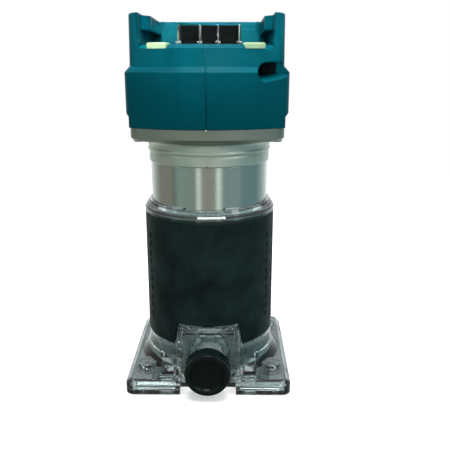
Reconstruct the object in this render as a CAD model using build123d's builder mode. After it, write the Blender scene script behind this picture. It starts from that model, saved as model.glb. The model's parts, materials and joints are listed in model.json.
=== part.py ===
from build123d import *
import math
import os

# Cordless trim router: a motor unit that slides and clamps in a clear trimming base.
#
# Frame: +Z up along the spindle, origin on the spindle axis at the underside of the sole plate.
# -Y is the rear (battery opening, guide clamp knob), +Y is the front (switches, clamp lever,
# height adjuster). Millimetres.

os.makedirs("parts", exist_ok=True)

# ---------------------------------------------------------------- driving dimensions
BARREL_R = 32.5        # motor barrel, the standard 65 mm trimming-motor diameter
BORE_R = 32.58         # bore of the clamp sleeve
SLEEVE_R = 35.0        # clear sleeve under the grip
GRIP_R = 36.7          # outside of the rubber grip
PLATE_HW = 45.3        # half width of the sole
PLATE_Y0, PLATE_Y1 = -45.0, 42.0
PLATE_TOP = 8.3
SOLE_T = 3.0
BODY_Z0 = 3.04         # moulding starts just above the sole plate
GRIP_Z0, GRIP_Z1 = 24.1, 95.1
NOTCH_Z = 36.9         # top of the notch in the grip over the guide seat
NOTCH_HW0, NOTCH_HW1 = 16.9, 19.6   # its half width at the top and at the grip's lower edge
RING_Z1 = 101.5
GUIDE_HW = 15.3        # half width of the guide seat
HOOD_HW0, HOOD_HW1 = 16.4, 17.8   # half width of the hood at its top and at the plate
KNOB_Z = 15.9
KNOB_R = 12.1
KNOB_Y0, KNOB_Y1 = -52.6, -42.6
SLOT_HW = 4.2          # half width of the clamp split
LEVER_Y, LEVER_Z = 41.0, 52.0
PINION_Y, PINION_Z = 39.6, 80.0
MODULE, PINION_TEETH = 1.0, 12
BARREL_Z0, BARREL_Z1 = 56.0, 123.2
NOSE_R, NOSE_Z0 = 17.0, 41.0
FLANGE_Z0, FLANGE_Z1 = 136.3, 143.0
HOUSE_Z0 = 143.05
BODY_HW, SKIRT_HW, UPPER_HW = 41.7, 39.75, 39.0
BAND_Z0, BAND_Z1 = 170.3, 173.3
TOP_Z = 198.6
BAY_HW, BAY_Z, LIP_Z = 33.6, 181.0, 183.4
NUT_Z0, NUT_Z1 = 22.0, 38.0
SHANK_R = 3.19         # collet bore for a 6.35 mm shank
FLANGE_SCREWS = [(-36, -20), (36, -20), (-36, 25), (36, 25)]
SOLE_SCREWS = [(-35.5, -26), (35.5, -26), (-35.5, 27), (35.5, 27)]
HOUSING_SCREWS = [(-12, 148.2), (8, 148.2), (-2, 174.4), (31, 174.4)]   # (y, z)
BUMPER_X, BUMPER_Y = 23.3, -30.3
BAY_Y = -31.6          # inner edge of the lip across the mouth of the battery bay
DIAL_X, DIAL_Y, DIAL_R = 27.5, -19.0, 9.0


def save(builder, name):
    builder.part.label = name
    export_step(builder.part, f"parts/{name}.step")


def ring(r_in, r_out, z0, z1):
    """A plain ring about the Z axis."""
    with BuildPart() as made:
        with BuildSketch(Plane.XY.offset(z0)):
            Circle(r_out)
            if r_in:
                Circle(r_in, mode=Mode.SUBTRACT)
        extrude(amount=z1 - z0)
    return made


def turned(points):
    """A turned solid about Z from a closed half section of (radius, z) points."""
    with BuildPart() as made:
        with BuildSketch(Plane.XZ):
            with BuildLine():
                Polyline(*points, close=True)
            make_face()
        revolve(axis=Axis.Z)
    return made


def plan(z, hw, y0, y1, r_front=75.0, r_back=112.0, corner=9.0):
    """Closed plan outline of the head: bowed front and back faces, rounded corners."""
    s0 = r_front - math.sqrt(r_front**2 - hw**2)
    s1 = r_back - math.sqrt(r_back**2 - hw**2)
    with BuildSketch(Plane.XY.offset(z)) as made:
        with BuildLine():
            ThreePointArc((-hw, y0 + s0), (0, y0), (hw, y0 + s0))
            Line((hw, y0 + s0), (hw, y1 - s1))
            ThreePointArc((hw, y1 - s1), (0, y1), (-hw, y1 - s1))
            Line((-hw, y1 - s1), (-hw, y0 + s0))
        make_face()
        fillet(made.vertices(), corner)
    return made


# ================================================================ base
# ---- sole plate
with BuildPart() as sole_plate:
    with BuildSketch():
        with Locations((0, (PLATE_Y0 + PLATE_Y1) / 2)):
            RectangleRounded(2 * PLATE_HW, PLATE_Y1 - PLATE_Y0, 5)
    extrude(amount=SOLE_T)
    chamfer(sole_plate.faces().sort_by(Axis.Z)[0].edges(), 0.5)
    with BuildSketch(Plane.XY.offset(-1)):
        Circle(15.0)
        with Locations((0, -50)):
            Rectangle(2 * GUIDE_HW, 2 * 13.4)
        with Locations((-23.1, -31.5), (23.1, -31.5)):
            RectangleRounded(7.0, 13.0, 1.0)
        with Locations(*SOLE_SCREWS):
            Circle(2.1)
    extrude(amount=SOLE_T + 2, mode=Mode.SUBTRACT)
    with Locations(*[(x, y, 1.1) for x, y in SOLE_SCREWS]):
        Cone(4.2, 2.1, 2.2, mode=Mode.SUBTRACT)
save(sole_plate, "sole_plate")

with BuildPart() as sole_screws:
    with Locations(*[(x, y, 1.2) for x, y in SOLE_SCREWS]):
        Cone(3.9, 2.0, 2.0)
    with Locations(*[(x, y, 5.3) for x, y in SOLE_SCREWS]):
        Cylinder(2.0, 6.2)
    with Locations(*[(x, y, 0.75) for x, y in SOLE_SCREWS]):
        Box(4.2, 0.9, 1.5, mode=Mode.SUBTRACT)
        Box(0.9, 4.2, 1.5, mode=Mode.SUBTRACT)
save(sole_screws, "sole_screws")

# ---- clear moulded base: plate shell, clamp sleeve, guide hood, lugs
with BuildPart() as trimmer_base:
    with BuildSketch(Plane.XY.offset(BODY_Z0)):
        with Locations((0, (PLATE_Y0 + PLATE_Y1) / 2)):
            RectangleRounded(2 * PLATE_HW, PLATE_Y1 - PLATE_Y0, 5)
    extrude(amount=PLATE_TOP - BODY_Z0)
    chamfer(trimmer_base.faces().sort_by(Axis.Z)[-1].edges(), 2.7)
    # hollow under the plate, left as a 3 mm wall
    with BuildSketch(Plane.XY.offset(BODY_Z0)):
        with Locations((0, (PLATE_Y0 + PLATE_Y1) / 2)):
            RectangleRounded(2 * PLATE_HW - 7.6, PLATE_Y1 - PLATE_Y0 - 7.6, 2.5)
        Circle(38.0, mode=Mode.SUBTRACT)
        with Locations((0, -40)):
            Rectangle(35.6, 20, mode=Mode.SUBTRACT)
    extrude(amount=5.8 - BODY_Z0, mode=Mode.SUBTRACT)
    # screw bosses and the posts round the two guide slots
    with BuildSketch(Plane.XY.offset(BODY_Z0)):
        with Locations(*SOLE_SCREWS):
            Circle(6.3)
        with Locations((-23.1, -31.5), (23.1, -31.5)):
            RectangleRounded(10.6, 16.6, 2.0)
    extrude(amount=5.5)
    with BuildSketch(Plane.XY.offset(PLATE_TOP - 0.2)):
        with Locations(*SOLE_SCREWS):
            Circle(5.4)
    extrude(amount=1.9)
    # sleeve, skirt and top ring as one turned form
    with BuildSketch(Plane.XZ):
        with BuildLine():
            Polyline((30.0, BODY_Z0), (39.0, BODY_Z0), (41.3, PLATE_TOP))
            ThreePointArc((41.3, PLATE_TOP), (38.2, 13.4), (36.75, 23.9))
            Polyline((36.75, 23.9), (SLEEVE_R, 24.0), (SLEEVE_R, 95.2), (GRIP_R, 95.3),
                     (GRIP_R + 0.1, 97.2), (35.7, 98.3), (35.9, 98.9), (34.1, RING_Z1),
                     (30.0, RING_Z1), (30.0, BODY_Z0))
        make_face()
    revolve(axis=Axis.Z)
    # hood over the guide seat
    with BuildSketch(Plane.XZ.offset(28)):
        with BuildLine():
            Polyline((-HOOD_HW1, BODY_Z0), (-HOOD_HW0, 35.5), (-HOOD_HW0 + 1, 36.5), (HOOD_HW0 - 1, 36.5),
                     (HOOD_HW0, 35.5), (HOOD_HW1, BODY_Z0), close=True)
        make_face()
    extrude(amount=16)
    # its outer face leans back towards the top
    with BuildSketch(Plane.YZ.offset(-30)):
        with BuildLine():
            Polyline((-60, 11.5), (-44.0, 11.5), (-38.6, 35.6), (-37.6, 37), (-60, 37), close=True)
        make_face()
    extrude(amount=60, mode=Mode.SUBTRACT)
    # clamp ears and adjuster lugs on the front
    with BuildSketch(Plane.YZ.offset(-9.4)):
        with Locations((LEVER_Y, LEVER_Z)):
            Circle(6.6)
        with Locations(((28 + LEVER_Y) / 2, LEVER_Z)):
            Rectangle(LEVER_Y - 28, 13.2)
    extrude(amount=18.8)
    with BuildSketch(Plane.YZ.offset(-9.4)):
        with Locations((PINION_Y, PINION_Z)):
            Circle(5.6)
        with Locations(((28 + PINION_Y) / 2, PINION_Z)):
            Rectangle(PINION_Y - 28, 11.2)
    extrude(amount=29.8)
    # bore down to the floor, and the bit opening through it
    with Locations((0, 0, PLATE_TOP + 60)):
        Cylinder(BORE_R, 120, mode=Mode.SUBTRACT)
    with Locations((0, 0, 5)):
        Cylinder(19.0, 12, mode=Mode.SUBTRACT)
    # guide seat under the hood
    with BuildSketch(Plane.XZ.offset(36.6)):
        with BuildLine():
            Polyline((-GUIDE_HW, 0), (-GUIDE_HW + 1.5, 33.2), (GUIDE_HW - 1.5, 33.2),
                     (GUIDE_HW, 0), close=True)
        make_face()
    extrude(amount=20, mode=Mode.SUBTRACT)
    # boss for the captive nut of the guide clamp
    with BuildSketch(Plane.XZ.offset(34.0)):
        with Locations((0, KNOB_Z)):
            Circle(8.0)
    extrude(amount=4.4)
    with Locations((0, 0, PLATE_TOP + 60)):
        Cylinder(BORE_R, 120, mode=Mode.SUBTRACT)
    with BuildSketch(Plane.XZ.offset(34.1)):
        with Locations((0, KNOB_Z)):
            RegularPolygon(5.08, 6, major_radius=False)
    extrude(amount=10, mode=Mode.SUBTRACT)
    with BuildSketch(Plane.XZ.offset(25)):
        with Locations((0, KNOB_Z)):
            Circle(3.25)
    extrude(amount=20, mode=Mode.SUBTRACT)
    # guide slots and screw holes
    with BuildSketch(Plane.XY.offset(0)):
        with Locations((-23.1, -31.5), (23.1, -31.5)):
            RectangleRounded(7.0, 13.0, 1.0)
    extrude(amount=12, mode=Mode.SUBTRACT)
    with Locations(*[(x, y, 4.5) for x, y in SOLE_SCREWS]):
        Cylinder(2.02, 8.4, mode=Mode.SUBTRACT)
    # viewing window and clamp split on the front
    with BuildSketch(Plane.XZ.offset(-15)) as window:
        with Locations((0, 24.0)):
            Rectangle(38, 31.4)
        fillet(window.vertices().group_by(Axis.Y)[-1], 9)
    extrude(amount=-45, mode=Mode.SUBTRACT)
    with Locations((0, 45, 75)):
        Box(2 * SLOT_HW, 50, 90, mode=Mode.SUBTRACT)
    # pin holes
    with BuildSketch(Plane.YZ.offset(-30)):
        with Locations((LEVER_Y, LEVER_Z)):
            Circle(2.55)
        with Locations((PINION_Y, PINION_Z)):
            Circle(2.56)
    extrude(amount=60, mode=Mode.SUBTRACT)
    # shallow index notch in the top ring
    with Locations((-1.8, -36, RING_Z1 + 1.9)):
        Box(22, 12, 6, mode=Mode.SUBTRACT)
save(trimmer_base, "trimmer_base")

# ---- rubber grip
with BuildPart() as grip_sleeve:
    with BuildSketch(Plane.XZ):
        with BuildLine():
            Polyline((SLEEVE_R + 0.04, GRIP_Z0), (GRIP_R - 0.5, GRIP_Z0), (GRIP_R, GRIP_Z0 + 0.5),
                     (GRIP_R, GRIP_Z1 - 0.6), (GRIP_R - 0.6, GRIP_Z1), (SLEEVE_R + 0.04, GRIP_Z1),
                     close=True)
        make_face()
    revolve(axis=Axis.Z)
    with BuildSketch(Plane.XZ.offset(20)):
        with BuildLine():
            Polyline((-NOTCH_HW1 - 0.8, 20), (-NOTCH_HW0, NOTCH_Z), (NOTCH_HW0, NOTCH_Z), (NOTCH_HW1 + 0.8, 20), close=True)
        make_face()
    extrude(amount=30, mode=Mode.SUBTRACT)
    # open strip over the clamp ears and adjuster
    with BuildSketch(Plane.XY.offset(20)):
        with BuildLine():
            Polyline((0, 0), (-45.5, 60), (45.5, 60), close=True)
        make_face()
    extrude(amount=90, mode=Mode.SUBTRACT)
save(grip_sleeve, "grip_sleeve")

# ---- captive nut
with BuildPart() as guide_nut:
    with BuildSketch(Plane.XZ.offset(34.12)):
        with Locations((0, KNOB_Z)):
            RegularPolygon(5.0, 6, major_radius=False)
            Circle(3.04, mode=Mode.SUBTRACT)
    extrude(amount=4.0)
save(guide_nut, "guide_nut")

# ================================================================ guide clamp knob
with BuildPart() as clamp_washer:
    with BuildSketch(Plane.XZ.offset(41.35)):
        with Locations((0, KNOB_Z)):
            Circle(6.4)
            Circle(3.2, mode=Mode.SUBTRACT)
    extrude(amount=1.2)
save(clamp_washer, "clamp_washer")

with BuildPart() as guide_screw:
    with BuildSketch(Plane.XZ.offset(32.9)):
        with Locations((0, KNOB_Z)):
            Circle(3.0)
    extrude(amount=15.3)
    chamfer(guide_screw.faces().sort_by(Axis.Y)[-1].edges(), 0.6)
save(guide_screw, "guide_screw")

KNOB_TEETH = 48
with BuildPart() as guide_knob:
    with BuildSketch(Plane.XZ.offset(-KNOB_Y1)):
        with Locations((0, KNOB_Z)):
            with BuildLine():
                pts = []
                for i in range(KNOB_TEETH):
                    for f, r in ((0.0, KNOB_R - 0.75), (0.16, KNOB_R - 0.75), (0.48, KNOB_R + 0.2), (0.68, KNOB_R + 0.2)):
                        a = 2 * math.pi * (i + f) / KNOB_TEETH
                        pts.append((r * math.cos(a), KNOB_Z + r * math.sin(a)))
                Polyline(*pts, close=True)
            make_face()
    extrude(amount=KNOB_Y1 - KNOB_Y0)
    with BuildSketch(Plane.XZ.offset(-KNOB_Y0 - 2.5)):
        with Locations((0, KNOB_Z)):
            Circle(KNOB_R)
    extrude(amount=2.5)
    # turned envelope: rounded rim and a dished face
    with BuildSketch(Plane.YZ) as half:
        with BuildLine():
            Line((KNOB_Y1, KNOB_Z), (KNOB_Y1, KNOB_Z + 11.0))
            Line((KNOB_Y1, KNOB_Z + 11.0), (KNOB_Y1 - 0.9, KNOB_Z + 12.3))
            Line((KNOB_Y1 - 0.9, KNOB_Z + 12.3), (KNOB_Y0 + 2.9, KNOB_Z + 12.3))
            Line((KNOB_Y0 + 2.9, KNOB_Z + 12.3), (KNOB_Y0 + 2.1, KNOB_Z + 11.9))
            Line((KNOB_Y0 + 2.1, KNOB_Z + 11.9), (KNOB_Y0 + 0.8, KNOB_Z + 11.9))
            ThreePointArc((KNOB_Y0 + 0.8, KNOB_Z + 11.9), (KNOB_Y0 + 0.2, KNOB_Z + 11.65), (KNOB_Y0, KNOB_Z + 11.1))
            ThreePointArc((KNOB_Y0, KNOB_Z + 11.1), (KNOB_Y0 + 0.25, KNOB_Z + 9.8), (KNOB_Y0 + 1.0, KNOB_Z + 8.9))
            Line((KNOB_Y0 + 1.0, KNOB_Z + 8.9), (KNOB_Y0 + 1.9, KNOB_Z + 8.5))
            Line((KNOB_Y0 + 1.9, KNOB_Z + 8.5), (KNOB_Y0 + 2.2, KNOB_Z))
            Line((KNOB_Y0 + 2.2, KNOB_Z), (KNOB_Y1, KNOB_Z))
        make_face()
    revolve(axis=Axis((0, 0, KNOB_Z), (0, 1, 0)), mode=Mode.INTERSECT)
    # socket for the screw
    with BuildSketch(Plane.XZ.offset(-KNOB_Y1 - 1)):
        with Locations((0, KNOB_Z)):
            Circle(3.02)
    extrude(amount=6.7, mode=Mode.SUBTRACT)
save(guide_knob, "guide_knob")

# ================================================================ clamp lever
with BuildPart() as clamp_bolt:
    with BuildSketch(Plane.YZ.offset(-17.2)):
        with Locations((LEVER_Y, LEVER_Z)):
            Circle(2.5)
    extrude(amount=31.0)
    with BuildSketch(Plane.YZ.offset(-20.0)):
        with Locations((LEVER_Y, LEVER_Z)):
            Circle(4.4)
    extrude(amount=2.8)
    chamfer(clamp_bolt.faces().sort_by(Axis.X)[0].edges(), 0.6)
    with BuildSketch(Plane.YZ.offset(-21.0)):
        with Locations((LEVER_Y, LEVER_Z)):
            RegularPolygon(2.0, 6, major_radius=False)
    extrude(amount=2.6, mode=Mode.SUBTRACT)
save(clamp_bolt, "clamp_bolt")

with BuildPart() as clamp_nut:
    with BuildSketch(Plane.YZ.offset(9.45)):
        with Locations((LEVER_Y, LEVER_Z)):
            RegularPolygon(4.0, 6, major_radius=False)
            Circle(2.53, mode=Mode.SUBTRACT)
    extrude(amount=4.0)
save(clamp_nut, "clamp_nut")

with BuildPart() as clamp_lever:
    with BuildSketch(Plane.YZ.offset(-17.1)) as arm:
        with Locations((LEVER_Y, LEVER_Z)):
            Circle(7.2)
        with BuildLine():
            Polyline((LEVER_Y - 4.6, LEVER_Z + 2), (LEVER_Y - 2.6, LEVER_Z + 20), (LEVER_Y - 1.4, LEVER_Z + 35),
                     (LEVER_Y + 6.2, LEVER_Z + 37.5), (LEVER_Y + 5.4, LEVER_Z + 22), (LEVER_Y + 6.9, LEVER_Z + 2),
                     close=True)
        make_face()
    extrude(amount=5.6)
    fillet(clamp_lever.edges().filter_by(Axis.X).filter_by(lambda e: e.center().Z > LEVER_Z + 30), 2.6)
    chamfer(clamp_lever.faces().sort_by(Axis.X)[0].edges(), 0.8)
    with BuildSketch(Plane.YZ.offset(-11.5)):
        with Locations((LEVER_Y, LEVER_Z)):
            Circle(7.0)
    extrude(amount=2.0)
    with BuildSketch(Plane.YZ.offset(-18)):
        with Locations((LEVER_Y, LEVER_Z)):
            Circle(2.56)
    extrude(amount=10, mode=Mode.SUBTRACT)
save(clamp_lever, "clamp_lever")

# ================================================================ height adjuster: pinion and rack
PITCH_R = MODULE * PINION_TEETH / 2
BASE_R = PITCH_R * math.cos(math.radians(20))
TIP_R, ROOT_R = PITCH_R + 0.95, PITCH_R - 1.05
BACKLASH = 0.12        # taken off each member's tooth thickness


def inv(t):
    return math.tan(t) - t


def pinion_points():
    half_pitch = math.pi / (2 * PINION_TEETH) - BACKLASH / (2 * PITCH_R)
    out = []
    for i in range(PINION_TEETH):
        # a gap faces the rack at -Y, so tooth centres sit half a pitch either side of it
        centre = -math.pi / 2 + (i + 0.5) * 2 * math.pi / PINION_TEETH
        flank = []
        for k in range(7):
            r = BASE_R + (TIP_R - BASE_R) * k / 6
            alpha = math.acos(min(1.0, BASE_R / r))
            half = half_pitch + inv(math.radians(20)) - inv(alpha)
            flank.append((r, half))
        half_root = flank[0][1]
        left = [(ROOT_R, half_root)] + flank
        for r, h in left:
            out.append((r * math.cos(centre - h), r * math.sin(centre - h)))
        for r, h in reversed(left):
            out.append((r * math.cos(centre + h), r * math.sin(centre + h)))
    return out


with BuildPart() as pinion_shaft:
    with BuildSketch(Plane.YZ.offset(-3.6)):
        with BuildLine():
            Polyline(*[(PINION_Y + p[0], PINION_Z + p[1]) for p in
                       [(y, z) for y, z in [(q[1], q[0]) for q in pinion_points()]]], close=True)
        make_face()
    extrude(amount=7.2)
    with BuildSketch(Plane.YZ.offset(-11.1)):
        with Locations((PINION_Y, PINION_Z)):
            Circle(2.5)
    extrude(amount=37.1)
save(pinion_shaft, "pinion_shaft")

with BuildPart() as pinion_clip:
    with BuildSketch(Plane.YZ.offset(-10.6)):
        with Locations((PINION_Y, PINION_Z)):
            Circle(4.6)
            Circle(2.5, mode=Mode.SUBTRACT)
    extrude(amount=1.0)
save(pinion_clip, "pinion_clip")

with BuildPart() as adjuster_knob:
    with BuildSketch(Plane.YZ.offset(21.2)):
        with BuildLine():
            pts = []
            for i in range(30):
                for f, r in ((0.0, 8.1), (0.25, 8.1), (0.45, 8.8), (0.8, 8.8)):
                    a = 2 * math.pi * (i + f) / 30
                    pts.append((PINION_Y + r * math.cos(a), PINION_Z + r * math.sin(a)))
            Polyline(*pts, close=True)
        make_face()
    extrude(amount=9.4)
    with BuildSketch(Plane.XY.offset(PINION_Z)) as section:
        with BuildLine():
            Polyline((21.2, PINION_Y), (21.2, PINION_Y + 8.2), (21.9, PINION_Y + 8.9), (29.2, PINION_Y + 8.9),
                     (30.6, PINION_Y + 7.5), (30.6, PINION_Y), close=True)
        make_face()
    revolve(axis=Axis((0, PINION_Y, PINION_Z), (1, 0, 0)), mode=Mode.INTERSECT)
    with BuildSketch(Plane.YZ.offset(20)):
        with Locations((PINION_Y, PINION_Z)):
            Circle(2.52)
    extrude(amount=6.2, mode=Mode.SUBTRACT)
save(adjuster_knob, "adjuster_knob")

RACK_PITCH = math.pi * MODULE
PITCH_LINE = PINION_Y - PITCH_R
with BuildPart() as height_rack:
    with BuildSketch(Plane.YZ.offset(-3.3)):
        with BuildLine():
            root, tip = PITCH_LINE - 1.25, PITCH_LINE + 0.7
            slope = math.tan(math.radians(20))
            ht = RACK_PITCH / 4 - BACKLASH / 2
            pts = [(30.45, 58.5), (root, 58.5)]
            for n in range(-6, 9):
                c = PINION_Z + n * RACK_PITCH
                pts += [(root, c - ht - 1.25 * slope), (tip, c - ht + 0.7 * slope),
                        (tip, c + ht - 0.7 * slope), (root, c + ht + 1.25 * slope)]
            pts += [(root, 107.5), (30.45, 107.5)]
            Polyline(*pts, close=True)
        make_face()
    extrude(amount=6.6)
save(height_rack, "height_rack")

# ================================================================ motor unit
barrel = turned([(13.99, 57), (10, 57), (10, 60), (29, 60), (29, 134), (30.7, 134), (31.0, 133.7),
                 (31.0, BARREL_Z1), (BARREL_R, BARREL_Z1), (BARREL_R, 57.0), (31.5, BARREL_Z0), (NOSE_R, BARREL_Z0),
                 (NOSE_R, NOSE_Z0 + 0.8), (NOSE_R - 0.8, NOSE_Z0), (13.99, NOSE_Z0)])
with BuildPart() as motor_barrel:
    add(barrel.part)
    with PolarLocations(23.4, 10, start_angle=18):
        with Locations((0, 0, 58)):
            Cylinder(3.0, 6, mode=Mode.SUBTRACT)
    with Locations((0, 30.4 + 3, 83.0)):
        Box(6.7, 6, 49.1, mode=Mode.SUBTRACT)
    with BuildSketch(Plane.XZ.offset(-9)):
        with Locations((0, 45.6)):
            Circle(2.65)
    extrude(amount=-12, mode=Mode.SUBTRACT)
save(motor_barrel, "motor_barrel")

flange_plan = plan(FLANGE_Z0, SKIRT_HW, -39.3, 44.6)
with BuildPart() as motor_bracket:
    add(flange_plan.sketch)
    extrude(amount=FLANGE_Z1 - FLANGE_Z0)
    chamfer(motor_bracket.faces().sort_by(Axis.Z)[0].edges(), 1.6)
    with BuildSketch(Plane.XZ):
        with BuildLine():
            Polyline((26, 123.25), (32.9, 123.25), (33.3, 123.8), (33.3, 127.9))
            ThreePointArc((33.3, 127.9), (32.75, 128.6), (33.4, 129.2))
            ThreePointArc((33.4, 129.2), (33.95, 130.2), (33.5, 131.2))
            ThreePointArc((33.5, 131.2), (34.4, 133.9), (37.9, FLANGE_Z0))
            Polyline((37.9, FLANGE_Z0), (37.9, 140), (26, 140), (26, 123.25))
        make_face()
    revolve(axis=Axis.Z)
    with Locations((0, 0, 123 + 5.55)):
        Cylinder(31.03, 11.1, mode=Mode.SUBTRACT)
    with Locations((0, 0, 139)):
        Cylinder(28.4, 12, mode=Mode.SUBTRACT)
    with Locations(*[(x, y, 140) for x, y in FLANGE_SCREWS]):
        Cylinder(2.1, 10, mode=Mode.SUBTRACT)
    with Locations(*[(x, y, 136.0) for x, y in FLANGE_SCREWS]):
        Cylinder(3.2, 3.2, mode=Mode.SUBTRACT)
    # small nick in the collar's lower edge at the parting line
    with BuildSketch(Plane.XZ.offset(30)):
        with BuildLine():
            Polyline((-0.9, 123.0), (0, 124.3), (0.9, 123.0), close=True)
        make_face()
    extrude(amount=6, mode=Mode.SUBTRACT)
    with Locations((-15, 38.6, 140), (15, 38.6, 140)):
        Cylinder(3.05, 10, mode=Mode.SUBTRACT)
save(motor_bracket, "motor_bracket")

with BuildPart() as flange_screws:
    with Locations(*[(x, y, 136.4) for x, y in FLANGE_SCREWS]):
        Cylinder(2.9, 2.3)
    chamfer(flange_screws.faces().group_by(Axis.Z)[0].edges(), 0.5)
    with Locations(*[(x, y, 143.4) for x, y in FLANGE_SCREWS]):
        Cylinder(2.0, 12.0)
    with Locations(*[(x, y, 135.5) for x, y in FLANGE_SCREWS]):
        Box(3.6, 0.8, 1.6, mode=Mode.SUBTRACT)
        Box(0.8, 3.6, 1.6, mode=Mode.SUBTRACT)
save(flange_screws, "flange_screws")

with BuildPart() as led_lenses:
    with Locations((-15, 38.6, 139.4), (15, 38.6, 139.4)):
        Cylinder(3.0, 7.2)
    fillet(led_lenses.faces().group_by(Axis.Z)[0].edges(), 1.4)
save(led_lenses, "led_lenses")

with BuildPart() as bearing_bridge:
    add(turned([(11.0, 124), (13.5, 124), (13.5, 131), (26.5, 131), (26.5, 126), (28.9, 126), (28.9, 134),
                (5.5, 134), (5.5, 131.1), (11.0, 131.1)]).part)
    with PolarLocations(20, 8):
        with Locations((0, 0, 132.5)):
            Cylinder(3.6, 6, mode=Mode.SUBTRACT)
save(bearing_bridge, "bearing_bridge")


def bearing(name, r_in, r_out, z0, z1, ball, pitch):
    zc = (z0 + z1) / 2
    with BuildPart() as outer:
        add(turned([(pitch + 0.55 * ball, z0), (r_out, z0), (r_out, z1), (pitch + 0.55 * ball, z1),
                    (pitch + 0.55 * ball, z1 - 0.4), (r_in + 2.25, z1 - 0.4), (r_in + 2.25, z1 - 0.8),
                    (pitch + 0.55 * ball, z1 - 0.8), (pitch + 0.55 * ball, z0 + 0.8), (r_in + 2.25, z0 + 0.8),
                    (r_in + 2.25, z0 + 0.4), (pitch + 0.55 * ball, z0 + 0.4)]).part)
        with Locations((0, 0, zc)):
            Torus(pitch, ball + 0.05, mode=Mode.SUBTRACT)
    save(outer, name + "_outer_race")
    with BuildPart() as inner:
        add(ring(r_in, pitch - 0.55 * ball, z0, z1).part)
        with Locations((0, 0, zc)):
            Torus(pitch, ball + 0.05, mode=Mode.SUBTRACT)
        with BuildSketch(Plane.XY.offset(z1 - 0.9)):
            Circle(pitch)
            Circle(r_in + 2.1, mode=Mode.SUBTRACT)
        extrude(amount=2, mode=Mode.SUBTRACT)
        with BuildSketch(Plane.XY.offset(z0 + 0.9)):
            Circle(pitch)
            Circle(r_in + 2.1, mode=Mode.SUBTRACT)
        extrude(amount=-2, mode=Mode.SUBTRACT)
    save(inner, name + "_inner_race")
    with BuildPart() as balls:
        with PolarLocations(pitch, 7):
            with Locations((0, 0, zc)):
                Sphere(ball)
    save(balls, name + "_balls")


bearing("lower_bearing", 6.0, 13.98, 49.0, 57.0, 1.95, 9.95)
bearing("upper_bearing", 4.0, 10.98, 124.0, 131.0, 1.7, 7.5)

bearing_retainer = ring(11.6, 13.97, 48.2, 48.95)
save(bearing_retainer, "bearing_retainer")

with BuildPart() as stator_core:
    with BuildSketch(Plane.XY.offset(78)):
        Circle(28.95)
        Circle(24.4, mode=Mode.SUBTRACT)
        with PolarLocations(20.0, 6):
            Rectangle(10.4, 6.4)
        with PolarLocations(15.6, 6):
            Rectangle(1.8, 12.0)
        Circle(14.7, mode=Mode.SUBTRACT)
    extrude(amount=36)
save(stator_core, "stator_core")

with BuildPart() as stator_windings:
    with PolarLocations(20.4, 6):
        with Locations((0, 0, 96)):
            Box(6.4, 12.0, 43.0)
    fillet(stator_windings.edges().filter_by(Axis.Z), 0.9)
    with PolarLocations(20.4, 6):
        with Locations((0, 0, 96)):
            Box(12, 6.5, 37.4, mode=Mode.SUBTRACT)
save(stator_windings, "stator_windings")

with BuildPart() as stator_end_rings:
    with BuildSketch(Plane.XY.offset(114.1)):
        Circle(28.8)
        Circle(24.9, mode=Mode.SUBTRACT)
    extrude(amount=4)
    with BuildSketch(Plane.XY.offset(73.9)):
        Circle(28.8)
        Circle(24.9, mode=Mode.SUBTRACT)
    extrude(amount=4)
save(stator_end_rings, "stator_end_rings")

with BuildPart() as sensor_board:
    with BuildSketch(Plane.XY.offset(119.6)):
        Circle(28.6)
        Circle(8.5, mode=Mode.SUBTRACT)
        with PolarLocations(20, 8):
            Circle(3.2, mode=Mode.SUBTRACT)
    extrude(amount=1.4)
save(sensor_board, "sensor_board")

with BuildPart() as motor_leads:
    with PolarLocations(20, 3, start_angle=45, angular_range=135):
        with Locations((0, 0, (117.7 + 152.9) / 2)):
            Cylinder(1.25, 152.9 - 117.7)
save(motor_leads, "motor_leads")

# ---- spindle group
with BuildPart() as spindle:
    add(turned([(0, 136), (3.6, 136), (4.0, 135.6), (4.0, 124), (5.0, 124), (5.0, 61), (7.4, 61), (7.4, 57.02), (6.0, 57.02),
                (6.0, 48.98), (7.4, 48.98), (7.4, 47.5), (9.6, 47.5), (9.6, 43.6), (8.0, 43.6), (8.0, 27.4), (7.6, 27.0), (6.2, 27.0),
                (4.75, 42.0), (4.75, 44.0), (0, 44.0)]).part)
    with PolarLocations(9.9, 4, start_angle=90):
        with Locations((0, 0, 45.55)):
            Box(5.2, 5.4, 5.0, mode=Mode.SUBTRACT)
save(spindle, "spindle")

rotor_core = ring(5.02, 12.0, 78.5, 113.5)
save(rotor_core, "rotor_core")

with BuildPart() as rotor_magnets:
    with BuildSketch(Plane.XY.offset(79)):
        Circle(13.9)
        Circle(12.02, mode=Mode.SUBTRACT)
        with PolarLocations(13, 4, start_angle=45):
            Rectangle(6, 2.4, mode=Mode.SUBTRACT)
    extrude(amount=34)
save(rotor_magnets, "rotor_magnets")

with BuildPart() as cooling_fan:
    with BuildSketch(Plane.XY.offset(62)):
        Circle(9)
        Circle(5.02, mode=Mode.SUBTRACT)
    extrude(amount=9.5)
    with BuildSketch(Plane.XY.offset(70)):
        Circle(26.5)
        Circle(5.02, mode=Mode.SUBTRACT)
    extrude(amount=1.5)
    with PolarLocations(16.9, 11):
        with Locations(Location((0, 0, 66.4), (0, 0, 24))):
            Box(17.6, 1.2, 7.4)
save(cooling_fan, "cooling_fan")

# ---- collet and nut
with BuildPart() as collet:
    slope = (6.2 - 4.75) / 15.0
    add(turned([(SHANK_R, 24.2), (5.6, 24.2), (7.0, 25.4), (7.0, 26.2), (6.12, 26.9), (4.75, 41.0), (4.3, 41.4), (SHANK_R, 41.4)]).part)
    with Locations(Location((0, 0, 36.0), (0, 0, 0)), Location((0, 0, 36.0), (0, 0, 90))):
        Box(16, 0.7, 17.0, mode=Mode.SUBTRACT)
save(collet, "collet")

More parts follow.
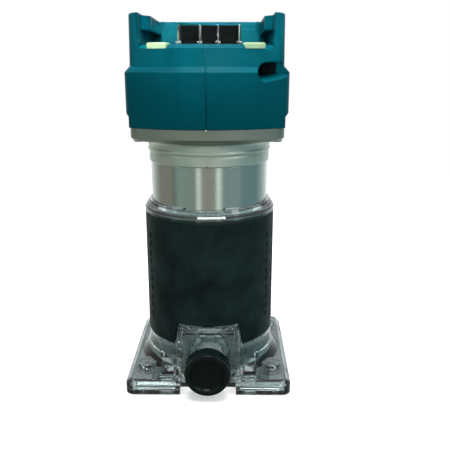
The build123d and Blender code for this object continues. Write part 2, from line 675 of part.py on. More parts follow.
with BuildPart() as collet_nut:
    with BuildSketch(Plane.XY.offset(NUT_Z0)):
        RegularPolygon(9.5, 6, major_radius=False)
    extrude(amount=NUT_Z1 - NUT_Z0)
    add(turned([(0, NUT_Z0), (8.6, NUT_Z0), (11.2, NUT_Z0 + 1.6), (11.2, NUT_Z1 - 0.9), (9.9, NUT_Z1), (0, NUT_Z1)]).part,
        mode=Mode.INTERSECT)
    add(turned([(0, NUT_Z0 - 1), (5.4, NUT_Z0 - 1), (5.4, 23.6), (5.75, 24.15), (7.1, 25.3), (7.1, 26.3), (8.06, 26.9), (8.06, NUT_Z1 + 1), (0, NUT_Z1 + 1)]).part,
        mode=Mode.SUBTRACT)
save(collet_nut, "collet_nut")

# ---- spindle lock
with BuildPart() as spindle_lock:
    with BuildSketch(Plane.XZ.offset(-11.6)):
        with Locations((0, 45.6)):
            Circle(2.5)
    extrude(amount=-8.6)
    with BuildSketch(Plane.XZ.offset(-20.2)):
        with Locations((0, 45.6)):
            Circle(4.4)
    extrude(amount=-2.6)
    fillet(spindle_lock.faces().sort_by(Axis.Y)[-1].edges(), 0.8)
    # locking tip, narrower than the notches in the spindle collar
    with BuildSketch(Plane.XZ.offset(-9.9)):
        with Locations((0, 45.6)):
            Rectangle(3.2, 3.0)
    extrude(amount=-2.0)
save(spindle_lock, "spindle_lock")

# ================================================================ head housing
body_plan = plan(HOUSE_Z0, BODY_HW, -39.5, 45.0)
upper_plan = plan(165, UPPER_HW, -38.0, 42.2, corner=8)
upper_plan_top = plan(TOP_Z, UPPER_HW, -34.2, 42.2, corner=8)
hollow_plan_low = plan(HOUSE_Z0 - 1, 37.0, -36.6, 42.2, corner=6)
hollow_plan_up = plan(167.0, 36.2, -33.8, 39.4, corner=5)

# room for the electronics, left out where the screw bosses and the dial pocket stand
with BuildPart() as hollow:
    add(hollow_plan_low.sketch)
    extrude(amount=168.0 - HOUSE_Z0 + 1)
    add(hollow_plan_up.sketch)
    extrude(amount=11.0)
    with Locations((39.5, -31, 170.5)):
        Box(32, 20, 25, mode=Mode.SUBTRACT)
    with Locations(*[(x, y, 148) for x, y in FLANGE_SCREWS]):
        Cylinder(4.6, 12, mode=Mode.SUBTRACT)
    with Locations(*[Location((0, y, z), (0, 90, 0)) for y, z in HOUSING_SCREWS]):
        Cylinder(3.8, 76, mode=Mode.SUBTRACT)

# upper part, its rear face leaning forward a few degrees
with BuildPart() as upper:
    add(upper_plan.sketch)
    add(upper_plan_top.sketch)
    loft()

# thumb recess for the speed dial: rounded inner end, open at the right, floor rising inwards
with BuildPart() as recess:
    with BuildSketch(Plane.XZ.offset(46)):
        with Locations((25.0 + 15, 170.4)):
            SlotOverall(30, 9.6)
    extrude(amount=-20.6)
    with BuildSketch(Plane.YZ.offset(20)):
        with BuildLine():
            Polyline((-40, 163), (-36.0, 164.6), (-25.0, 169.2), (-24, 163), close=True)
        make_face()
    extrude(amount=40, mode=Mode.SUBTRACT)

with BuildPart() as head:
    add(body_plan.sketch)
    extrude(amount=BAND_Z1 - HOUSE_Z0)
    chamfer(head.faces().sort_by(Axis.Z)[-1].edges(), length=3.0, length2=2.75)
    # side pads end above the skirt
    with BuildSketch(Plane.XZ.offset(-60)):
        for s in (-1, 1):
            with BuildLine():
                Polyline((s * SKIRT_HW, HOUSE_Z0 - 1), (s * SKIRT_HW, 148.6), (s * (BODY_HW + 1), 151.4),
                         (s * 50, 151.4), (s * 50, HOUSE_Z0 - 1), close=True)
            make_face()
    extrude(amount=120, mode=Mode.SUBTRACT)
    add(upper.part)
    fillet(head.faces().sort_by(Axis.Z)[-1].edges(), 1.2)
    # battery bay: through the rear face above the lip, then the floor
    with BuildSketch(Plane.XZ.offset(60)) as mouth:
        with Locations((0, (LIP_Z + 230) / 2)):
            Rectangle(2 * BAY_HW, 230 - LIP_Z)
        fillet(mouth.vertices().group_by(Axis.Y)[0], 3.6)
    extrude(amount=-60 - 35.2, mode=Mode.SUBTRACT)
    bay_hw = BAY_HW - 0.2
    bay_s = 75.0 - math.sqrt(75.0**2 - bay_hw**2)
    with BuildSketch(Plane.XY.offset(BAY_Z)):
        with BuildLine():
            ThreePointArc((-bay_hw, BAY_Y + bay_s), (0, BAY_Y), (bay_hw, BAY_Y + bay_s))
            Polyline((bay_hw, BAY_Y + bay_s), (bay_hw, 35.2), (-bay_hw, 35.2), (-bay_hw, BAY_Y + bay_s))
        make_face()
    extrude(amount=49, mode=Mode.SUBTRACT)
    # stepped inner face of the far wall
    with Locations((0, 35.6, 200)):
        Box(54.0, 1.6, 11, mode=Mode.SUBTRACT)
    # battery rails
    for s in (-1, 1):
        with BuildSketch(Plane.XY.offset(191)):
            with BuildLine():
                Polyline((s * 34.4, -17), (s * 29.2, -11), (s * 29.2, 35.4), (s * 34.4, 35.4), close=True)
            make_face()
        extrude(amount=TOP_Z - 0.6 - 191)
        with BuildSketch(Plane.YZ.offset(s * 28.0)):
            with Locations((-1, 194.6), (7.5, 194.6), (16, 194.6), (24.5, 194.6)):
                Rectangle(5.4, 4.6)
        extrude(amount=s * 4.2, mode=Mode.SUBTRACT)
    # bevel along the top of the lip and up the ends of the side walls
    lip_y = -35.9
    lip_s = 75.0 - math.sqrt(75.0**2 - 33.0**2)
    with BuildLine(Plane.XY.offset(LIP_Z)) as lip:
        ThreePointArc((-33.0, lip_y + lip_s), (0, lip_y), (33.0, lip_y + lip_s))
    with BuildSketch(Plane(origin=lip.line @ 0, z_dir=lip.line % 0)):
        Rectangle(2.4, 2.4, rotation=45)
    sweep(path=lip.line, mode=Mode.SUBTRACT)
    for s in (-1, 1):
        with BuildLine() as wall_end:
            Line((s * BAY_HW, -27.4, 185.5), (s * BAY_HW, -25.6, 200))
        with BuildSketch(Plane(origin=wall_end.line @ 0, z_dir=wall_end.line % 0)):
            Rectangle(1.9, 1.9, rotation=45)
        sweep(path=wall_end.line, mode=Mode.SUBTRACT)
    # V groove along the parting line, rear and front
    for path in (((-39.5, 142.5), (-39.5, BAND_Z0), (-37.05, BAND_Z1), (-35.9, LIP_Z + 1)),
                 ((45.0, 142.5), (45.0, BAND_Z0), (42.2, BAND_Z1), (42.2, TOP_Z + 1))):
        with BuildLine(Plane.YZ) as seam:
            Polyline(*path)
        with BuildSketch(Plane(origin=(0, path[0][0], path[0][1]), z_dir=(0, 0, 1))):
            Rectangle(0.8, 0.8, rotation=45)
        sweep(path=seam.line, mode=Mode.SUBTRACT, transition=Transition.RIGHT)
    # hollow for the electronics
    add(hollow.part, mode=Mode.SUBTRACT)
    # bosses stop at the bracket, holes for its screws
    with Locations(*[(x, y, 147) for x, y in FLANGE_SCREWS]):
        Cylinder(2.03, 9, mode=Mode.SUBTRACT)
    # opening in the bay floor for the terminal block
    with Locations((0, 15, 180)):
        Box(38.2, 18.2, 8, mode=Mode.SUBTRACT)
    # thumb recess for the speed dial at the rear right corner
    add(recess.part, mode=Mode.SUBTRACT)
    with Locations((DIAL_X, DIAL_Y, 172.25)):
        Cylinder(DIAL_R + 0.35, 5.5, mode=Mode.SUBTRACT)
    with Locations((DIAL_X, DIAL_Y, 167)):
        Cylinder(5.2, 8.0, mode=Mode.SUBTRACT)
    # bumper pockets in the lip
    with Locations(*[Location((s * BUMPER_X, BUMPER_Y, LIP_Z), (0, 0, s * 18)) for s in (-1, 1)]):
        Box(10.1, 5.0, 4.0, mode=Mode.SUBTRACT)
    # switch panel on the front
    with BuildSketch(Plane.XZ.offset(-43.9)):
        with Locations((0, 160.2)):
            RectangleRounded(37, 13, 4)
    extrude(amount=-4, mode=Mode.SUBTRACT)
    with BuildSketch(Plane.XZ.offset(-36)):
        with Locations((-9, 160.2)):
            Circle(4.2)
        with Locations((9, 160.2)):
            SlotOverall(12.4, 8.4)
    extrude(amount=-12, mode=Mode.SUBTRACT)
    # intake slots in both sides
    with BuildSketch(Plane.YZ.offset(-50)):
        with GridLocations(5.0, 0, 5, 1):
            with Locations((14, 160.5)):
                SlotOverall(11.0, 2.2, rotation=90)
    extrude(amount=100, mode=Mode.SUBTRACT)

with BuildPart() as housing_left:
    add(head.part)
    with Locations((49.95, 0, 170)):
        Box(100, 140, 80, mode=Mode.SUBTRACT)
    with Locations(*[Location((-10, y, z), (0, 90, 0)) for y, z in HOUSING_SCREWS]):
        Cylinder(1.63, 21, mode=Mode.SUBTRACT)
with BuildPart() as housing_right:
    add(head.part)
    with Locations((-49.95, 0, 170)):
        Box(100, 140, 80, mode=Mode.SUBTRACT)
    with Locations(*[Location((25, y, z), (0, 90, 0)) for y, z in HOUSING_SCREWS]):
        Cylinder(1.8, 52, mode=Mode.SUBTRACT)
    with Locations(*[Location((46, y, z), (0, 90, 0)) for y, z in HOUSING_SCREWS]):
        Cylinder(3.3, 20, mode=Mode.SUBTRACT)
save(housing_left, "housing_left")
save(housing_right, "housing_right")

with BuildPart() as housing_screws:
    with Locations(*[Location((8.5, y, z), (0, 90, 0)) for y, z in HOUSING_SCREWS]):
        Cylinder(1.6, 55)
    with Locations(*[Location((37.1, y, z), (0, 90, 0)) for y, z in HOUSING_SCREWS]):
        Cylinder(3.1, 2.2)
    with Locations(*[(38.2, y, z) for y, z in HOUSING_SCREWS]):
        Box(2.4, 0.8, 3.6, mode=Mode.SUBTRACT)
        Box(2.4, 3.6, 0.8, mode=Mode.SUBTRACT)
save(housing_screws, "housing_screws")

# ---- battery terminals
with BuildPart() as terminal_block:
    with Locations((0, 15, (BAY_Z + 0.05 + 185.2) / 2)):
        Box(40.6, 24.0, 185.2 - BAY_Z - 0.05)
    with Locations((0, 21.0, 190.0)):
        Box(35.4, 8.0, 11.0)
    with Locations((0, 15, 178.2)):
        Box(38.0, 18.0, 6.0)
    chamfer(terminal_block.faces().sort_by(Axis.Z)[-1].edges(), 0.5)
    for x in (-16.6, -4.9, 4.9, 16.6):
        with Locations((x, 10.0, 188.0)):
            Box(0.7, 15.6, 30, mode=Mode.SUBTRACT)
save(terminal_block, "terminal_block")

with BuildPart() as terminal_blades:
    for x in (-16.6, -4.9, 4.9, 16.6):
        with Locations((x, 9.9, (185.3 + 195.0) / 2)):
            Box(0.6, 12.0, 195.0 - 185.3)
        with Locations((x, 12.0, (176.4 + 186.0) / 2)):
            Box(0.6, 5.0, 186.0 - 176.4)
        with Locations((x, 5.2, 185.9)):
            Box(2.8, 2.2, 1.0)
save(terminal_blades, "terminal_blades")

with BuildPart() as bumpers:
    with Locations(*[Location((s * BUMPER_X, BUMPER_Y, LIP_Z - 0.55), (0, 0, s * 18)) for s in (-1, 1)]):
        Box(10.0, 4.8, 2.8)
    fillet(bumpers.edges().group_by(Axis.Z)[-1], 0.8)
save(bumpers, "bumpers")

# ---- electronics
with BuildPart() as controller_tray:
    with Locations((0, 9, 161)):
        Box(60, 38, 16)
    with Locations((0, 9, 162.5)):
        Box(57, 35, 15, mode=Mode.SUBTRACT)
save(controller_tray, "controller_tray")
with BuildPart() as controller_board:
    with Locations((0, 9, 160.0)):
        Box(56.6, 34.6, 1.6)
    with Locations((-18, 9, 163.8), (0, 9, 163.8), (18, 9, 163.8)):
        Box(9, 22, 6.0)
save(controller_board, "controller_board")
with BuildPart() as battery_leads:
    with Locations((-12, 15, 172.0), (12, 15, 172.0)):
        Cylinder(1.5, 6.2)
save(battery_leads, "battery_leads")

# ---- controls
with BuildPart() as speed_dial:
    with BuildSketch(Plane.XY.offset(169.75)):
        with BuildLine():
            pts = []
            for i in range(48):
                for f, r in ((0.0, DIAL_R - 0.4), (0.25, DIAL_R - 0.4), (0.45, DIAL_R), (0.8, DIAL_R)):
                    a = 2 * math.pi * (i + f) / 48
                    pts.append((DIAL_X + r * math.cos(a), DIAL_Y + r * math.sin(a)))
            Polyline(*pts, close=True)
        make_face()
    extrude(amount=4.9)
    with Locations((DIAL_X, DIAL_Y, 169.75)):
        Cylinder(2.0, 4.0, mode=Mode.SUBTRACT)
save(speed_dial, "speed_dial")
with BuildPart() as dial_potentiometer:
    with Locations((DIAL_X, DIAL_Y, 166.4)):
        Cylinder(5.0, 5.8)
    with Locations((DIAL_X, DIAL_Y, 170.4)):
        Cylinder(1.9, 2.4)
save(dial_potentiometer, "dial_potentiometer")

with BuildPart() as lock_button:
    with BuildSketch(Plane.XZ.offset(-40.6)):
        with Locations((-9, 160.2)):
            Circle(4.0)
    extrude(amount=-4.9)
    fillet(lock_button.faces().sort_by(Axis.Y)[-1].edges(), 0.7)
    with BuildSketch(Plane.XZ.offset(-40.0)):
        with Locations((-9, 160.2)):
            Circle(4.8)
    extrude(amount=-0.8)
save(lock_button, "lock_button")
with BuildPart() as power_button:
    with BuildSketch(Plane.XZ.offset(-40.6)):
        with Locations((9, 160.2)):
            SlotOverall(12.0, 8.0)
    extrude(amount=-4.9)
    fillet(power_button.faces().sort_by(Axis.Y)[-1].edges(), 0.7)
    with BuildSketch(Plane.XZ.offset(-40.0)):
        with Locations((9, 160.2)):
            SlotOverall(13.6, 9.6)
    extrude(amount=-0.8)
save(power_button, "power_button")
with BuildPart() as switch_board:
    with Locations((0, 36.2, 160.2)):
        Box(36, 1.4, 12)
    with Locations((-9, 37.6, 160.2), (9, 37.6, 160.2)):
        Box(5, 1.4, 5)
save(switch_board, "switch_board")
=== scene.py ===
import json
import math
import bpy
import numpy as np
from mathutils import Vector, Matrix


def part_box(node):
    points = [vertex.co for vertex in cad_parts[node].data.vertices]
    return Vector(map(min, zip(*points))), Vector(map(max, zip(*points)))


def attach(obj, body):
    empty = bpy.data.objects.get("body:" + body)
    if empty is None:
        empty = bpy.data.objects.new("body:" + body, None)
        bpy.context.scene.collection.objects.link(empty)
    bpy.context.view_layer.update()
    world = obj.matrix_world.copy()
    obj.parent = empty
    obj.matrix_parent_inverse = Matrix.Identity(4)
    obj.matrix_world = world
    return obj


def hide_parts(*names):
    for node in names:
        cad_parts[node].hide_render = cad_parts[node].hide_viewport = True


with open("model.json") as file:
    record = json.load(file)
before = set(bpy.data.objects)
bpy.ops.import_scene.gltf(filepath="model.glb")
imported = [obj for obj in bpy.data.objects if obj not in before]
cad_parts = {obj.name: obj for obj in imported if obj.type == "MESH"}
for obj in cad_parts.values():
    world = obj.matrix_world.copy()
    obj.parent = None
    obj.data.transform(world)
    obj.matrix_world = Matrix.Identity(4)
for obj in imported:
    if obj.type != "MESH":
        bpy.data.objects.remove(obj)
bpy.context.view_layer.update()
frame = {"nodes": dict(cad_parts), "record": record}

scene = bpy.context.scene
scene.view_settings.view_transform = "Standard"
scene.view_settings.look = "None"


def lin(r, g, b):
    """sRGB 0-255 to linear."""
    out = []
    for v in (r, g, b):
        v /= 255.0
        out.append(v / 12.92 if v <= 0.04045 else ((v + 0.055) / 1.055) ** 2.4)
    return (*out, 1.0)


# ------------------------------------------------------------------ camera
cam = bpy.data.objects.new("camera", bpy.data.cameras.new("camera"))
scene.collection.objects.link(cam)
cam.location = (0.01213, -0.31715, 0.17232)
cam.rotation_euler = (math.radians(90 - 15.54), 0.0, math.radians(0.59))
cam.data.sensor_width = 36.0
cam.data.lens = 45.14
cam.data.clip_start, cam.data.clip_end = 0.01, 50.0
scene.camera = cam


# ------------------------------------------------------------------ material kit
class Kit:
    """A small helper around one node tree."""

    def __init__(self, tree):
        self.t = tree

    def node(self, kind, **props):
        n = self.t.nodes.new(kind)
        for k, v in props.items():
            if hasattr(n, k):
                setattr(n, k, v)
            else:
                n.inputs[k].default_value = v
        return n

    def link(self, a, b):
        self.t.links.new(a, b)

    def math(self, op, a, b=0.0, clamp=False):
        n = self.t.nodes.new("ShaderNodeMath")
        n.operation, n.use_clamp = op, clamp
        for s, v in zip(n.inputs, (a, b)):
            if isinstance(v, (int, float)):
                s.default_value = v
            else:
                self.link(v, s)
        return n.outputs[0]

    def noise(self, vec, scale, detail=3.0, rough=0.55):
        n = self.node("ShaderNodeTexNoise")
        n.inputs["Scale"].default_value = scale
        n.inputs["Detail"].default_value = detail
        n.inputs["Roughness"].default_value = rough
        if vec is not None:
            self.link(vec, n.inputs["Vector"])
        return n.outputs["Fac"]

    def ramp(self, fac, lo, hi, a=0.0, b=1.0):
        n = self.node("ShaderNodeMapRange")
        n.clamp = True
        for key, v in (("From Min", lo), ("From Max", hi), ("To Min", a), ("To Max", b)):
            n.inputs[key].default_value = v
        self.link(fac, n.inputs["Value"])
        return n.outputs["Result"]

    def mix(self, fac, a, b, kind="MIX"):
        n = self.node("ShaderNodeMix")
        n.data_type, n.blend_type = "RGBA", kind
        for s, v in ((n.inputs[0], fac), (n.inputs[6], a), (n.inputs[7], b)):
            if isinstance(v, (int, float)):
                s.default_value = v
            elif isinstance(v, tuple):
                s.default_value = v
            else:
                self.link(v, s)
        return n.outputs[2]

    def bump(self, height, strength, distance, normal=None):
        n = self.node("ShaderNodeBump")
        n.inputs["Strength"].default_value = strength
        n.inputs["Distance"].default_value = distance
        self.link(height, n.inputs["Height"])
        if normal is not None:
            self.link(normal, n.inputs["Normal"])
        return n.outputs["Normal"]


def material(name, colour, dark=None, rough=0.4, rough_var=0.08, metallic=0.0, grain=1500.0, grain_bump=0.12,
             grain_depth=0.0002, blotch=60.0, blotch_amt=0.35, edge=None, edge_radius=0.0006, edge_amt=0.6,
             rings=None, ring_bump=0.1, stretch=None, scratches=0.0, specular=0.5, coat=0.0, coat_rough=0.1,
             transmission=0.0, ior=1.5, anisotropic=0.0, sheen=0.0, emission=None, machined=None):
    """Colour variation, roughness variation, fine grain bump, edges tinted lighter as wear plus painted highlight, and
    optional turning marks, from object coordinates.
    """
    m = bpy.data.materials.new(name)
    m.use_nodes = True
    k = Kit(m.node_tree)
    bsdf = m.node_tree.nodes["Principled BSDF"]
    co = k.node("ShaderNodeTexCoord").outputs["Object"]
    vec = co
    if stretch:
        mp = k.node("ShaderNodeMapping")
        mp.inputs["Scale"].default_value = stretch
        k.link(co, mp.inputs["Vector"])
        vec = mp.outputs["Vector"]
    dark = dark or tuple(c * 0.72 for c in colour[:3]) + (1.0,)
    blot = k.noise(vec, blotch, 4.0)
    fine = k.noise(vec, grain, 2.0)
    tone = k.mix(k.ramp(blot, 0.35, 0.68, 0.0, blotch_amt), colour, dark)
    tone = k.mix(k.ramp(fine, 0.4, 0.75, 0.0, 0.25), tone, dark)
    if machined:
        # turned surfaces below a height are brighter than the cast skin above it
        mz = k.node("ShaderNodeSeparateXYZ")
        k.link(co, mz.inputs[0])
        tone = k.mix(k.ramp(mz.outputs["Z"], machined[0], machined[0] + 0.0004, 1.0, 0.0), tone,
                     k.mix(k.ramp(fine, 0.4, 0.75, 0.0, 0.3), machined[1], tuple(c * 0.85 for c in machined[1][:3]) + (1.0,)))
    bev = k.node("ShaderNodeBevel")
    bev.samples = 4
    bev.inputs["Radius"].default_value = edge_radius
    geo = k.node("ShaderNodeNewGeometry")
    # lighter colour on bevelled edges: partly real wear, partly painted highlight where edges and chamfers would catch
    # the light
    if edge is not None:
        dot = k.node("ShaderNodeVectorMath", operation="DOT_PRODUCT")
        k.link(bev.outputs["Normal"], dot.inputs[0])
        k.link(geo.outputs["True Normal"], dot.inputs[1])
        edge_wear_and_highlight = k.ramp(dot.outputs["Value"], 0.995, 0.80, 0.0, 1.0)
        edge_wear_and_highlight = k.math("MULTIPLY", edge_wear_and_highlight, k.ramp(k.noise(co, 260.0, 3.0), 0.35, 0.62, 0.15, 1.0), True)
        edge_wear_and_highlight = k.math("MULTIPLY", edge_wear_and_highlight, edge_amt, True)
        tone = k.mix(edge_wear_and_highlight, tone, edge)
    k.link(tone, bsdf.inputs["Base Color"])
    r = k.ramp(k.noise(vec, blotch * 2.7, 4.0), 0.3, 0.7, max(rough - rough_var, 0.02), min(rough + rough_var, 1.0))
    if scratches:
        mp2 = k.node("ShaderNodeMapping")
        mp2.inputs["Scale"].default_value = (1.0, 14.0, 1.0)
        mp2.inputs["Rotation"].default_value = (0.4, 0.7, 0.9)
        k.link(co, mp2.inputs["Vector"])
        scr = k.ramp(k.noise(mp2.outputs["Vector"], 90.0, 5.0, 0.7), 0.60, 0.72, 0.0, scratches)
        r = k.math("ADD", r, scr, True)
    k.link(r, bsdf.inputs["Roughness"])
    normal = k.bump(fine, grain_bump, grain_depth, bev.outputs["Normal"])
    if rings:
        sep = k.node("ShaderNodeSeparateXYZ")
        k.link(co, sep.inputs[0])
        warp = k.math("MULTIPLY", k.noise(co, 8.0, 2.0), 0.0006)
        z = k.math("MULTIPLY", k.math("ADD", sep.outputs["Z"], warp), rings)
        wave = k.math("SINE", z)
        comb = k.node("ShaderNodeCombineXYZ")
        k.link(sep.outputs["Z"], comb.inputs[2])
        lines = k.noise(comb.outputs[0], 2600.0, 3.0, 0.8)
        normal = k.bump(k.math("ADD", k.math("MULTIPLY", wave, 0.4), lines), ring_bump, 0.0001, normal)
    k.link(normal, bsdf.inputs["Normal"])
    bsdf.inputs["Metallic"].default_value = metallic
    bsdf.inputs["Specular IOR Level"].default_value = specular
    bsdf.inputs["IOR"].default_value = ior
    bsdf.inputs["Coat Weight"].default_value = coat
    bsdf.inputs["Coat Roughness"].default_value = coat_rough
    bsdf.inputs["Transmission Weight"].default_value = transmission
    bsdf.inputs["Anisotropic"].default_value = anisotropic
    bsdf.inputs["Sheen Weight"].default_value = sheen
    if anisotropic:
        tan = k.node("ShaderNodeTangent", direction_type="RADIAL", axis="Z")
        k.link(tan.outputs[0], bsdf.inputs["Tangent"])
    if emission:
        bsdf.inputs["Emission Color"].default_value = emission
        bsdf.inputs["Emission Strength"].default_value = 1.0
    return m


clear = material("clear_polycarbonate", (0.43, 0.51, 0.51, 1), dark=(0.37, 0.45, 0.45, 1), rough=0.05, rough_var=0.02,
                 grain=420.0, grain_bump=0.05, blotch=30.0, blotch_amt=0.4, transmission=1.0, ior=1.58, scratches=0.12)
rubber = material("grip_rubber", lin(30, 50, 49), dark=lin(13, 26, 26), rough=0.55, rough_var=0.07, grain=2600.0,
                  grain_bump=0.35, grain_depth=0.0003, blotch=70.0, blotch_amt=0.95, edge=lin(48, 66, 66), edge_amt=0.35,
                  specular=0.10)
black = material("black_plastic", lin(8, 18, 18), dark=lin(4, 10, 10), rough=0.26, rough_var=0.07, grain=1900.0,
                 grain_bump=0.10, edge=lin(38, 54, 54), edge_amt=0.4, specular=0.20)
# the lighter teal edge colour is a painted highlight standing in for chamfers and the seam catching the light
teal = material("teal_housing", lin(0, 86, 98), dark=lin(0, 73, 84), rough=0.40, rough_var=0.06, grain=2300.0,
                grain_bump=0.14, blotch=45.0, blotch_amt=0.25, edge=lin(6, 128, 143), edge_amt=0.45, specular=0.035)
bumper = material("bumper_rubber", lin(184, 212, 166), dark=lin(170, 198, 152), rough=0.6, grain=1800.0,
                  grain_bump=0.2, edge=lin(200, 222, 186), edge_amt=0.3, specular=0.25)
alu = material("turned_aluminium", (0.50, 0.56, 0.52, 1), dark=(0.44, 0.50, 0.46, 1), rough=0.15, rough_var=0.03,
               metallic=1.0, grain=900.0, grain_bump=0.01, blotch=18.0, blotch_amt=0.4, stretch=(0.15, 0.15, 12.0),
               rings=9000.0, ring_bump=0.012, anisotropic=0.0, edge=(0.75, 0.78, 0.75, 1), edge_amt=0.4)
cast = material("cast_silver", (0.265, 0.295, 0.255, 1), dark=(0.22, 0.25, 0.215, 1), rough=0.40, rough_var=0.06,
                metallic=0.85, grain=1300.0, grain_bump=0.25, grain_depth=0.0002, blotch=70.0, edge=(0.60, 0.63, 0.58, 1),
                edge_amt=0.6, machined=(0.1347, (0.57, 0.65, 0.57, 1)))
steel_black = material("black_oxide_steel", (0.02, 0.022, 0.024, 1), rough=0.35, metallic=0.9, grain=1500.0,
                       edge=(0.2, 0.2, 0.2, 1), edge_amt=0.5)
zinc = material("zinc_steel", (0.50, 0.51, 0.49, 1), rough=0.3, metallic=1.0, grain=1200.0, edge=(0.75, 0.75, 0.74, 1))
ground = material("ground_steel", (0.42, 0.42, 0.41, 1), rough=0.2, metallic=1.0, grain=2400.0, grain_bump=0.06,
                  stretch=(1, 1, 9), edge=(0.7, 0.7, 0.69, 1))
nickel = material("nickel_blades", (0.34, 0.36, 0.33, 1), rough=0.28, metallic=1.0, grain=1400.0, grain_bump=0.06,
                  edge=(0.8, 0.8, 0.77, 1))
lams = material("laminations", (0.16, 0.16, 0.17, 1), rough=0.45, metallic=0.8, grain=1300.0, rings=12000.0, ring_bump=0.5,
                edge=(0.3, 0.3, 0.3, 1))
copper = material("enamelled_copper", (0.42, 0.14, 0.05, 1), dark=(0.28, 0.08, 0.03, 1), rough=0.3, metallic=0.9,
                  grain=1600.0, grain_bump=0.5, stretch=(3, 3, 0.2), coat=0.4, edge=(0.7, 0.35, 0.18, 1))
magnet = material("magnets", (0.12, 0.12, 0.13, 1), rough=0.4, metallic=0.7, grain=900.0, edge=(0.3, 0.3, 0.3, 1))
board = material("circuit_board", (0.01, 0.12, 0.05, 1), dark=(0.01, 0.07, 0.03, 1), rough=0.3, grain=1800.0,
                 grain_bump=0.2, coat=0.4, edge=(0.2, 0.3, 0.15, 1))
insulation = material("lead_insulation", (0.35, 0.02, 0.015, 1), rough=0.5, grain=1500.0, edge=(0.5, 0.1, 0.08, 1))
lens = material("frosted_lens", (0.93, 0.95, 0.92, 1), rough=0.3, grain=1500.0, transmission=0.8, ior=1.49)

# the light knob edge colour is a painted highlight on the knurl crests and dish rim
knob_black = material("knob_black", lin(4, 18, 17), dark=lin(3, 11, 11), rough=0.17, rough_var=0.05, grain=2100.0,
                      grain_bump=0.05, edge=lin(60, 80, 78), edge_radius=0.0004, edge_amt=0.5, specular=0.15)
matt_black = material("terminal_black", lin(3, 6, 6), dark=lin(1, 3, 3), rough=0.55, grain=1900.0, grain_bump=0.10,
                      edge=lin(22, 30, 30), edge_amt=0.4, specular=0.02)
nodes_own = {"guide_knob": knob_black, "adjuster_knob": knob_black, "terminal_block": matt_black,
             "speed_dial": matt_black, "sole_screws": steel_black}

looks = {
    "clear_plastic": clear, "grip_rubber": rubber, "black_plastic": black, "teal_plastic": teal, "bumper_rubber": bumper,
    "bare_aluminium": alu, "cast_silver": cast, "black_steel": steel_black, "zinc_steel": zinc, "ground_steel": ground,
    "nickel": nickel, "lamination_steel": lams, "copper_winding": copper, "magnet": magnet, "circuit_board": board,
    "lead_insulation": insulation, "frosted_lens": lens,
}
for part in frame["record"]["subparts"]:
    obj = frame["nodes"][part["node"]]
    look = nodes_own.get(part["node"], looks[part["material_slot"]])
    for s in obj.material_slots:
        s.material = look
    if not obj.material_slots:
        obj.data.materials.append(look)


def mesh_object(name, verts, faces, mat, smooth=True):
    me = bpy.data.meshes.new(name)
    me.from_pydata([tuple(v) for v in verts], [], [tuple(int(i) for i in f) for f in faces])
    me.update()
    ob = bpy.data.objects.new(name, me)
    scene.collection.objects.link(ob)
    me.materials.append(mat)
    if smooth:
        for p in me.polygons:
            p.use_smooth = True
    return ob


# ------------------------------------------------------------------ rubber grip with moulded dimples
lo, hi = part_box("grip_sleeve")
R_OUT, R_IN, Z0, Z1 = 0.0367, 0.03504, lo[2], hi[2]
GAP = math.atan2(45.5, 60.0)            # half angle of the open strip at +Y
NOTCH_TOP = 0.0369                      # the guide notch at -Y, wider downwards
NOTCH_TOP_HW, NOTCH_GROW = 0.0169, 0.207


def notch_angle(z):
    """Half angle of the guide notch at height z, on the outer radius."""
    return np.arcsin(np.clip((NOTCH_TOP_HW + np.maximum(NOTCH_TOP - z, 0.0) * NOTCH_GROW) / R_OUT, 0.0, 0.999))


def slot_profile(u, v, half_len, half_w, soft):
    """1 inside an upright rounded slot, 0 outside, with a soft wall."""
    vv = np.maximum(np.abs(v) - (half_len - half_w), 0.0)
    d = np.sqrt(u * u + vv * vv) - half_w
    return np.clip(0.5 - d / soft, 0.0, 1.0) ** 1.0


def dimple_depth(theta, z):
    """theta measured from -Y, positive to +X. Two banks of staggered upright slots, one on each side of the grip."""
    depth = np.zeros_like(theta)
    pitch_a, pitch_z = math.radians(12.8), 0.0052
    for side in (-1, 1):
        for col in range(7):
            a = side * math.radians(61.5) + side * col * pitch_a
            z_lo = 0.0300 if col not in (0, 6) else 0.0345
            z_hi = 0.0885 if col not in (0, 6) else 0.0840
            off = 0.5 * pitch_z * (col % 2)
            n = np.round((z - off) / pitch_z)
            zc = n * pitch_z + off
            inside = (zc > z_lo) & (zc < z_hi)
            u = (theta - a) * R_OUT
            depth = np.maximum(depth, inside * slot_profile(u, z - zc, 0.00185, 0.00065, 0.0005))
    return depth


